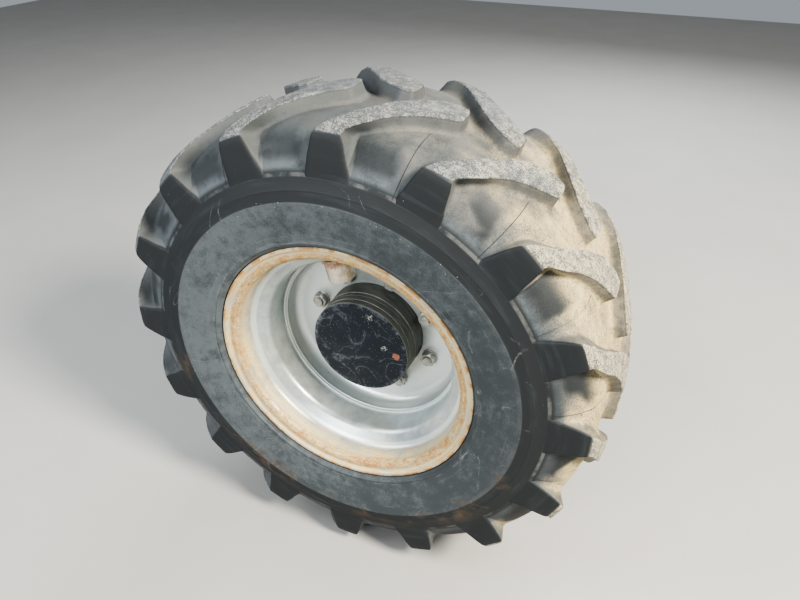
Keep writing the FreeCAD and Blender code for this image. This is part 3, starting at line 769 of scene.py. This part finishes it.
def makeWheelPaint():
    finish = Finish("wheelPaint", wheelPaint)
    cloud = finish.noise(11.0, 4.0, 0.6)
    patch = finish.noise(38.0, 4.0, 0.65)
    grit = finish.noise(260.0, 3.0, 0.7)
    runs = finish.streaks(6.0, 160.0, 3.0)
    longRuns = finish.streaks(16.0, 190.0, 5.0, 0.7)
    mottle = (cloud * 0.5 + patch * 0.5).above(0.36, 0.64)
    finish.tone = finish.mix(mottle * 0.45, "silver", "pale")
    # painted light: the disc face is made paler, and the ring at the disc's edge and the edge of the well
    # get painted highlights
    bright = (finish.zone("disc") + finish.zone("discRing")) * 0.95 + finish.zone("wellEdge") * 0.7
    finish.cover(bright, "pale")
    # the flange and the bead seat hold dried dust, with rust along the bottom of the curl
    onFlange = finish.zone("flange")
    flaky = (patch * 0.5 + grit * 0.25 + runs * 0.25).above(0.43, 0.57)
    creamShare = onFlange * (0.35 + flaky * 0.40 + cloud.above(0.34, 0.60) * 0.25)
    finish.cover(creamShare, "cream")
    band = finish.zone("rustBand")
    uneven = longRuns * 0.45 + patch * 0.35 + cloud * 0.2 + (grit - 0.5) * 0.45
    rusty = uneven.above(0.50, 0.62)
    finish.cover(band * uneven.above(0.36, 0.51) * 0.85, "tan")
    finish.cover(band * rusty * 0.8, "orange")
    finish.cover(finish.zone("slope") * uneven.above(0.45, 0.60) * 0.35, "tan")
    finish.cover(finish.zone("edge") * (0.25 + patch.above(0.42, 0.58) * 0.35), "tan")
    finish.cover(finish.zone("lip") * patch.above(0.44, 0.58) * 0.7, "orange")
    pits = finish.cells(130.0).below(0.12, 0.25) * patch.above(0.47, 0.59)
    finish.cover(pits * onFlange * 0.75, "brown")
    # darker in the groove at the disc's edge, where the disc bends, and on the disc round the hub, where the
    # darkening is painted shade
    darkening = finish.zone("groove") * 0.22 + finish.zone("root") * 0.32
    finish.cover(darkening * (0.4 + patch), "darkening")
    specks = finish.specks(75.0, (0.06, 0.12), (0.52, 0.66))
    finish.cover(specks * 0.6, "brown")
    dust = finish.noise(6.0, 3.0, 0.6).above(0.46, 0.66) * finish.z.below(0.02, 0.20)
    finish.cover(dust * 0.12, "cream")
    flaked = creamShare + band * rusty
    rough = 0.30 + flaked * 0.25 + mottle * 0.08 + specks * 0.2
    metal = 0.46 * (1.0 - flaked.capped())
    height = grit * (0.25 + flaked * 0.8) + patch * 0.5 + pits * onFlange * -0.8 + runs * 0.25
    return finish.close(rough, height, 0.0009, 0.45, metal=metal)


rim = {
    # closed outline: down the tyre's side from the outer lip, then back along the open side
    "seat": [
        (0.2826, 0.1790, 0.002), (0.2826, 0.1760), (0.2797, 0.1681), (0.2721, 0.1655, 0.004),
        (0.2580, 0.1655, 0.004),
    ],
    "well": [
        (0.2550, 0.1280, 0.008), (0.2210, 0.1070, 0.010), (0.2210, -0.0120, 0.010), (0.2550, -0.0320, 0.008),
    ],
    "openWell": [
        (0.2470, -0.0320, 0.008), (0.2130, -0.0120, 0.010), (0.2130, 0.1070, 0.010), (0.2470, 0.1280, 0.007),
    ],
    "curl": [
        (0.2500, 0.1655, 0.0045), (0.2580, 0.1735, 0.0045), (0.2721, 0.1735, 0.005), (0.2746, 0.1790, 0.003),
    ],
    "steps": 224,
}

disc = {
    "corners": [
        (0.1123, -0.0030, 0.001), (0.2128, -0.0030, 0.030), (0.2128, 0.0460, 0.002), (0.2028, 0.0460, 0.003),
        (0.2028, 0.0070, 0.022), (0.1123, 0.0070, 0.001),
    ],
    "steps": 192,
    "boltCount": 8,
    "boltFirst": 26.5,
    "boltCircle": 0.1375,
    "holeRadius": 0.012,
}

welds = {
    "discWeldFront": {"radius": 0.2098, "out": 0.0462, "thickness": 0.0040, "ripples": 210, "depth": 0.10},
    "discWeldBack": {"radius": 0.2112, "out": 0.0245, "thickness": 0.0050, "ripples": 190, "depth": 0.14},
}
# slow waves round a weld: how many, their phase and their share of the depth
weldWaves = ((17, 0.0, 0.3), (41, 1.0, 0.2))
weldSides = 8
stepsPerRipple = 4


def weldBead(name, radius, out, thickness, ripples, depth):
    # ring of weld round the axle, with the scales that the electrode leaves
    section = []
    for side in range(weldSides):
        angle = side * fullTurn / weldSides
        section.append((radius + thickness * math.cos(angle), out + thickness * math.sin(angle)))
    piece = settle(turned(name, section, ripples * stepsPerRipple), "moulded")
    for vert in piece.data.vertices:
        angle = math.atan2(vert.co.z, vert.co.x)
        middle = aroundAxle(radius, out, math.degrees(angle))
        swell = math.cos(ripples * angle)
        swell += sum(share * math.sin(angle * count + phase) for count, phase, share in weldWaves)
        vert.co = middle + (vert.co - middle) * (1 + depth * swell)
    return piece


def makeRimAndDisc():
    tyreSide = rim["seat"] + rim["well"] + mirrored(rim["seat"])
    openSide = mirrored(rim["curl"]) + rim["openWell"] + rim["curl"]
    rimShell = turned("rimShell", tyreSide + openSide, rim["steps"], arcSteps=6)
    finishPiece(rimShell, silverPaint, "wheel", "wheel_paint", "rim_barrel")
    dish = turned("wheelDish", disc["corners"], disc["steps"], arcSteps=8)
    drill = straightBar("studHole", disc["holeRadius"], -2 * overshoot, 2 * overshoot, disc["boltCircle"])
    carve(dish, roundTheAxle(drill, disc["boltCount"], disc["boltFirst"]))
    settle(dish)
    finishPiece(dish, silverPaint, "wheel", "wheel_paint", "wheel_disc")
    for name, sizes in welds.items():
        finishPiece(weldBead(name, **sizes), silverPaint, "wheel", "wheel_paint")


silverPaint = makeWheelPaint()
makeRimAndDisc()

print("stage: hub")

hubPaint = {
    "gloss": (0.006, 0.012, 0.020),
    "olive": (0.165, 0.172, 0.150),
    "dust": (0.42, 0.41, 0.36),
    "scratch": (0.20, 0.22, 0.25),
    "glint": (0.025, 0.086),
    "bits": (0.057, 0.013),
    "chip": (0.27, 0.115, 0.075),
    "chipPlace": (0.0846, -0.0001),
    "face": (0.0882, 0.0890),
    # pale lines where dust sits: distance out, width, strength
    "joints": ((0.0470, 0.0010, 1.0), (0.0580, 0.0008, 1.0), (0.0730, 0.0009, 1.0), (0.0872, 0.0012, 0.7)),
}


def makeHubPaint():
    finish = Finish("hubPaint", hubPaint)
    cloud = finish.noise(14.0, 4.0, 0.6)
    patch = finish.noise(45.0, 4.0, 0.65)
    grit = finish.noise(320.0, 3.0, 0.7)
    onFace = finish.out.above(*hubPaint["face"])
    # dusty barrel with pale lines where dust sits in the joints
    bands = finish.streaks(3.0, 260.0, 3.0)
    barrelDust = (1.0 - onFace) * (0.45 + (cloud * 0.5 + bands * 0.5).above(0.36, 0.62) * 0.5)
    finish.tone = finish.mix(barrelDust, "gloss", "olive")
    joints = finish.out.lines(hubPaint["joints"])
    finish.cover(joints * (1.0 - onFace) * (patch * 1.4 - 0.35), "dust")
    # face: swirled wipe marks, fine scratches, pale specks and one chip down to the primer
    swirl = finish.noise(8.5, 0.5, 0.4, warp=0.9)
    wisps = finish.noise(17.0, 1.0, 0.4, warp=0.8)
    marks = swirl.line(0.44, 0.011) * 0.9 + swirl.line(0.53, 0.009) * 0.8 + wisps.line(0.60, 0.014) * 0.6
    marks = marks + swirl.line(0.44, 0.04) * 0.10 + swirl.line(0.53, 0.04) * 0.10
    marks = marks * (cloud * 0.4 + patch * 0.6).above(0.40, 0.56) * grit.above(0.34, 0.60)
    haze = (cloud * 0.6 + patch * 0.4).above(0.50, 0.70) * 0.04
    specks = finish.specks(170.0, (0.08, 0.18), (0.60, 0.72))
    worn = finish.radius.above(0.097, 0.108) * patch.above(0.46, 0.60) * grit.above(0.36, 0.56) * 0.55
    # painted highlight: a small glint on the face, laid on in the pale dust colour
    glint = finish.farFrom("glint") + (patch - 0.5) * 0.03
    glint = glint.below(0.003, 0.010) * grit.above(0.50, 0.58) * onFace
    finish.cover((marks * 0.38 + haze + worn) * onFace, "scratch")
    finish.cover(specks * 0.42 + glint, "dust")
    chipFar = finish.farFrom("chipPlace") + (patch - 0.5) * 0.022 + (grit - 0.5) * 0.004
    chip = chipFar.below(0.0080, 0.0095) * onFace
    finish.cover(chip, "chip")
    bits = (finish.farFrom("bits") + (patch - 0.5) * 0.02).below(0.004, 0.009)
    finish.cover(bits * grit.above(0.46, 0.56) * onFace * 0.8, "dust")
    dull = barrelDust + joints * 0.5 + chip
    rough = 0.20 + dull * 0.45 + marks * 0.15 + haze + patch * 0.08
    height = grit * (0.15 + barrelDust * 0.6) + patch * 0.5 + marks * 0.2 - chip * 0.8
    coat = 0.25 * (1.0 - dull.capped())
    return finish.close(rough, height, 0.0007, 0.35, coat=coat, coatRough=0.12, specular=0.3)


hub = {
    "housing": [
        (0.0802, -0.0950, 0.001), (0.1040, -0.0950, 0.003), (0.1190, -0.0730, 0.006),
        (0.1190, -0.0270, 0.006), (0.1660, -0.0270, 0.003), (0.1660, -0.0030, 0.001),
        (0.1120, -0.0030), (0.1120, 0.0470, 0.0006),
        (0.1108, 0.0475), (0.1108, 0.0572, 0.0004), (0.1100, 0.0576), (0.1100, 0.0584),
        (0.1108, 0.0588, 0.0004), (0.1108, 0.0722, 0.0004), (0.1096, 0.0730), (0.0660, 0.0730),
        (0.0660, 0.0440), (0.0451, 0.0440), (0.0451, 0.0140), (0.0660, 0.0140),
        (0.0660, -0.0510), (0.0551, -0.0510), (0.0551, -0.0810), (0.0802, -0.0810),
    ],
    "cover": [
        (0.0, 0.0730), (0.1086, 0.0730), (0.1098, 0.0740), (0.1098, 0.0872),
        (0.1082, 0.0894, 0.0009), (0.0, 0.0894),
    ],
    "steps": 160,
}


def makeHub():
    housing = turned("hubBarrel", hub["housing"], hub["steps"])
    finishPiece(housing, glossPaint, "wheel", "hub_paint", "hub_housing")
    cover = turned("hubCap", hub["cover"], hub["steps"], closed=False)
    finishPiece(cover, glossPaint, "wheel", "hub_paint", "hub_end_cover")


glossPaint = makeHubPaint()
makeHub()

print("stage: studs, washers and nuts")

zinc = {
    "bright": (0.50, 0.50, 0.47),
    "dull": (0.25, 0.25, 0.225),
    "dust": (0.34, 0.31, 0.24),
    "rust": (0.26, 0.13, 0.06),
}


def makeZinc():
    finish = Finish("dullZinc", zinc)
    patch = finish.noise(120.0, 4.0, 0.65)
    cloud = finish.noise(30.0, 3.0, 0.6)
    grit = finish.noise(700.0, 2.0, 0.7)
    dusty = (patch * 0.6 + cloud * 0.4).above(0.50, 0.64)
    rusty = (finish.noise(70.0, 4.0, 0.7) + (grit - 0.5) * 0.2).above(0.60, 0.70)
    finish.tone = finish.mix(patch.above(0.35, 0.65), "bright", "dull")
    finish.cover(dusty * 0.7, "dust")
    finish.cover(rusty * 0.75, "rust")
    dull = (dusty + rusty).capped()
    height = grit * (0.3 + dull) + patch * 0.6
    return finish.close(0.40 + dull * 0.35, height, 0.0005, 0.45, metal=0.55 - dull * 0.4)


fasteners = {
    "nut": {"acrossFlats": 0.030, "low": 0.0105, "high": 0.0245, "bore": 0.0101, "chamfer": 0.0026,
            "rounding": 0.0004},
    "washer": [
        (0.0102, 0.0070), (0.0180, 0.0070, 0.0006), (0.0180, 0.0105, 0.0010), (0.0102, 0.0105),
    ],
    "washerSteps": 40,
    "stud": {"radius": 0.0100, "head": 0.0170, "headLow": -0.0360, "headHigh": -0.0270, "end": 0.0290,
             "pitch": 0.0025, "thread": 0.0011, "threads": 8, "tip": 0.0012, "steps": 28},
    "armBolt": {"acrossFlats": 0.021, "low": -0.1460, "high": -0.1370, "circle": 0.083, "count": 8,
                "chamfer": 0.0018, "dimple": 0.0045, "dimpleDepth": 0.001},
    # blank for the chamfers: clearance past the corners, height over width, steps
    "blank": (0.0002, 0.6, 48),
}


def hexBar(name, sizes):
    # six-sided bar on the axle line; a turned blank cuts its corners back at both ends
    low, high, cut = sizes["low"], sizes["high"], sizes["chamfer"]
    clearance, slope, steps = fasteners["blank"]
    corner = sizes["acrossFlats"] / math.sqrt(3)
    reach = corner + clearance
    bar = straightBar(name, corner, low, high, sides=6)
    blank = turned("chamferBlank", [
        (0.0, low), (reach - cut, low), (reach, low + cut * slope + mergeWithin["corners"]),
        (reach, high - cut * slope), (reach - cut, high), (0.0, high),
    ], steps, closed=False)
    return carve(bar, blank, "INTERSECT")


def placeOnCircle(piece, circle, count, first=0.0):
    makeActive(piece)
    piece.location = (circle, 0, 0)
    bpy.ops.object.transform_apply()
    return roundTheAxle(piece, count, first)


def makeNut():
    sizes = fasteners["nut"]
    nut = hexBar("wheelNut", sizes)
    carve(nut, straightBar("nutBore", sizes["bore"], sizes["low"] - overshoot, sizes["high"] + overshoot))
    return settle(roundEdges(nut, sizes["rounding"], segments=2, sharpest=30.0), "hexagon")


def makeStud():
    sizes = fasteners["stud"]
    radius, low, end, pitch = sizes["radius"], sizes["headHigh"], sizes["end"], sizes["pitch"]
    outline = [(0.0, sizes["headLow"]), (sizes["head"], sizes["headLow"], 0.0015),
               (sizes["head"], low, 0.0008), (radius, low)]
    threadTop = end - sizes["tip"]
    for turn in range(sizes["threads"]):
        crest = threadTop - pitch * (sizes["threads"] - turn)
        outline += [(radius, crest), (radius - sizes["thread"], crest + pitch / 2)]
    outline += [(radius, threadTop), (radius - sizes["tip"], end, 0.0003), (0.0, end)]
    return turned("wheelStud", outline, sizes["steps"], arcSteps=3, closed=False)


def makeFasteners():
    ring = (disc["boltCircle"], disc["boltCount"], disc["boltFirst"])
    washer = turned("nutWasher", fasteners["washer"], fasteners["washerSteps"], arcSteps=3)
    for piece, node in ((makeNut(), "wheel_nuts"), (washer, "nut_washers"), (makeStud(), "wheel_studs")):
        finishPiece(placeOnCircle(piece, *ring), dullZinc, "wheel", "fastener_steel", node)


dullZinc = makeZinc()
makeFasteners()

print("stage: valve guard")

bareSteel = {
    "bright": (0.68, 0.66, 0.60),
    "tan": (0.50, 0.38, 0.20),
    "rust": (0.24, 0.11, 0.05),
}

valveGuard = {
    "angle": 103.5,
    "out": 0.077,
    "outerRadius": 0.029,
    "wall": 0.005,
    "near": 0.165,
    "far": 0.2122,
    "wellRadius": 0.213,
    "rounding": 0.0008,
    "weld": 0.0036,
    "weldGap": 0.001,
    "ripples": 34,
    "stepsPerRipple": 6,
    # swell of the weld: share of its thickness, waves round the pipe
    "waves": ((0.16, 34, math.cos), (0.12, 5, math.sin)),
}


def makeBareSteel():
    finish = Finish("guardSteel", bareSteel)
    patch = finish.noise(60.0, 4.0, 0.65)
    grit = finish.noise(420.0, 3.0, 0.7)
    # heat and rust towards the weld, bright metal in the middle
    toWeld = (finish.radius + (patch - 0.5) * 0.022).above(0.190, 0.208)
    sides = (patch * 0.6 + finish.noise(25.0, 3.0) * 0.4).above(0.48, 0.60)
    finish.tone = finish.mix(grit.above(0.4, 0.6) * 0.4, "bright", "tan")
    finish.cover(sides * 0.6, "tan")
    finish.cover((toWeld * 0.8 + sides * 0.2) * (0.5 + grit * 0.8), "rust")
    dull = (toWeld + sides).capped()
    height = grit * (0.4 + dull) + patch
    return finish.close(0.34 + dull * 0.4, height, 0.0006, metal=0.9 - dull * 0.6)


def makeValveGuard():
    sizes = valveGuard
    middle = Vector(((sizes["near"] + sizes["far"]) / 2, wheelCentre.y - sizes["out"], 0))
    clearSelection()
    bpy.ops.mesh.primitive_cylinder_add(vertices=64, radius=sizes["outerRadius"],
                                        depth=sizes["far"] - sizes["near"], location=middle,
                                        rotation=(0, math.pi / 2, 0))
    pipe = settle(newPiece("valveGuardPipe"))
    editAll(pipe)
    pick(pipe, lambda face: abs(face.normal.x) > 0.9, "faces")
    bpy.ops.mesh.inset(thickness=sizes["wall"], depth=0)
    bpy.ops.mesh.bridge_edge_loops()
    pick(pipe, lambda edge: edge.calc_face_angle(0) > 1.0, "edges")
    bpy.ops.mesh.bevel(offset=sizes["rounding"], segments=2)
    faceOutwards()
    settle(pipe)
    clearSelection()
    ringRadius = sizes["outerRadius"] + sizes["weldGap"]
    centre = Vector((0, middle.y, 0))
    bpy.ops.mesh.primitive_torus_add(
        major_segments=sizes["ripples"] * sizes["stepsPerRipple"], minor_segments=weldSides,
        major_radius=ringRadius, minor_radius=sizes["weld"], location=centre, rotation=(0, math.pi / 2, 0))
    weld = settle(newPiece("valveGuardWeld"), "moulded")
    for vert in weld.data.vertices:
        # the ring swells and sinks, and bends to the round well
        across = vert.co.z
        angle = math.atan2(vert.co.y - middle.y, across)
        swell = 1 + sum(share * wave(count * angle) for share, count, wave in sizes["waves"])
        ring = centre + Vector((0, math.sin(angle), math.cos(angle))) * ringRadius
        vert.co = ring + (vert.co - ring) * swell
        vert.co.x += math.sqrt(sizes["wellRadius"] ** 2 - across ** 2) - sizes["weldGap"]
    guard = joinPieces([pipe, weld], "valveGuardPipe")
    turnAboutAxle(guard, sizes["angle"])
    finishPiece(guard, guardSteel, "wheel", "bare_steel", "valve_guard")


guardSteel = makeBareSteel()
makeValveGuard()

print("stage: axle arm")

castIron = {
    "paint": (0.050, 0.056, 0.066),
    "worn": (0.11, 0.115, 0.12),
    "dust": (0.30, 0.27, 0.21),
    "rust": (0.20, 0.09, 0.045),
    "bare": (0.30, 0.29, 0.28),
}

arm = {
    "corners": [
        (0.0, -0.1170), (0.1000, -0.1170, 0.002), (0.1000, -0.1370, 0.003), (0.0600, -0.1370, 0.010),
        (0.0740, -0.2780, 0.012), (0.1320, -0.2780, 0.004), (0.1320, -0.3000, 0.001),
        (0.0380, -0.3000, 0.001), (0.0380, -0.1370), (0.0, -0.1370),
    ],
    "steps": 120,
    "ribCount": 6,
    "ribFirst": 15.0,
    "ribThickness": 0.012,
    "ribRounding": 0.003,
    # outline of the rib: (radius, out)
    "rib": [(0.055, -0.203), (0.068, -0.203), (0.118, -0.268), (0.118, -0.282), (0.055, -0.282)],
    "boltCount": 12,
    "boltCircle": 0.112,
    "boltHole": 0.0085,
    "holeEnds": (-0.32, -0.26),
    "bareFace": (-0.2996, -0.2990),
}


def makeCastIron():
    finish = Finish("armPaint", castIron)
    patch = finish.noise(34.0, 4.0, 0.65)
    cloud = finish.noise(9.0, 4.0, 0.6)
    sand = finish.noise(480.0, 3.0, 0.7)
    lumps = finish.cells(210.0)
    back = finish.out.below(*arm["bareFace"])
    finish.tone = finish.mix(patch.above(0.40, 0.65) * 0.6, "paint", "worn")
    dusty = (cloud * 0.5 + patch * 0.5 + finish.z * 1.2).above(0.50, 0.72)
    finish.cover(dusty * 0.65, "dust")
    rusty = (finish.noise(22.0, 4.0, 0.7) + (sand - 0.5) * 0.3).above(0.60, 0.70)
    finish.cover(rusty * 0.7, "rust")
    finish.cover(back * (1.0 - rusty * 0.5), "bare")
    height = (sand * 0.5 + lumps * 0.9) * (1.0 - back * 0.9) + patch
    rough = 0.48 + (dusty + rusty).capped() * 0.35 - back * 0.1
    return finish.close(rough, height, 0.0014, metal=back * 0.7)


def makeRib():
    # flat web on the +X side, thickened, its top edge sloping from the flange down to the tube
    rib = drawRoute("armRib", [onProfile(*corner) for corner in arm["rib"]], True)
    bpy.ops.mesh.edge_face_add()
    bpy.ops.object.mode_set(mode="OBJECT")
    useModifier(rib, "SOLIDIFY", thickness=arm["ribThickness"], offset=0.0)
    return settle(roundEdges(rib, arm["ribRounding"], segments=3, sharpest=40.0))


def makeArm():
    body = turned("axleArm", arm["corners"], arm["steps"], closed=False)
    carve(body, roundTheAxle(makeRib(), arm["ribCount"], arm["ribFirst"]), "UNION")
    drill = straightBar("flangeHole", arm["boltHole"], *arm["holeEnds"], arm["boltCircle"], 24)
    carve(body, roundTheAxle(drill, arm["boltCount"]))
    settle(body)
    finishPiece(body, armPaint, "axle_end", "arm_casting", "axle_arm")
    sizes = fasteners["armBolt"]
    bolt = hexBar("armBolt", sizes)
    dimpleEnds = sizes["low"] - overshoot, sizes["low"] + sizes["dimpleDepth"]
    carve(bolt, straightBar("boltDimple", sizes["dimple"], *dimpleEnds))
    settle(bolt, "hexagon")
    bolts = placeOnCircle(bolt, sizes["circle"], sizes["count"])
    finishPiece(bolts, dullZinc, "axle_end", "fastener_steel", "spindle_bolts")


armPaint = makeCastIron()
makeArm()

print("stage: finishes of the plain pieces")

plainFinishes = {
    # node: colour, second colour, roughness, metallic, grain per metre, bump in metres
    "spindle": ((0.42, 0.42, 0.41), (0.30, 0.29, 0.26), 0.32, 0.9, 350.0, 0.0003),
    "hub_seal": ((0.028, 0.028, 0.028), (0.06, 0.055, 0.05), 0.72, 0.0, 420.0, 0.0004),
    "valve_stem": ((0.55, 0.43, 0.20), (0.33, 0.24, 0.12), 0.38, 0.85, 500.0, 0.0002),
    "valve_cap": ((0.038, 0.038, 0.040), (0.09, 0.085, 0.075), 0.62, 0.0, 600.0, 0.0002),
}


def finishPlainPieces():
    for name, (first, second, rough, metal, grain, depth) in plainFinishes.items():
        finish = Finish(name + "Finish", {"first": first, "second": second})
        patch = finish.noise(grain / 8, 4.0, 0.65)
        rings = finish.streaks(2.0, grain * 2, 2.0)
        finish.tone = finish.mix((patch * 0.7 + rings * 0.3).above(0.42, 0.62), "first", "second")
        height = finish.noise(grain, 3.0, 0.7) * 0.6 + rings * 0.6
        material = finish.close(rough + patch * 0.15, height, depth, metal=metal)
        node = frame["nodes"][name]
        node.data.materials.clear()
        node.data.materials.append(material)


finishPlainPieces()
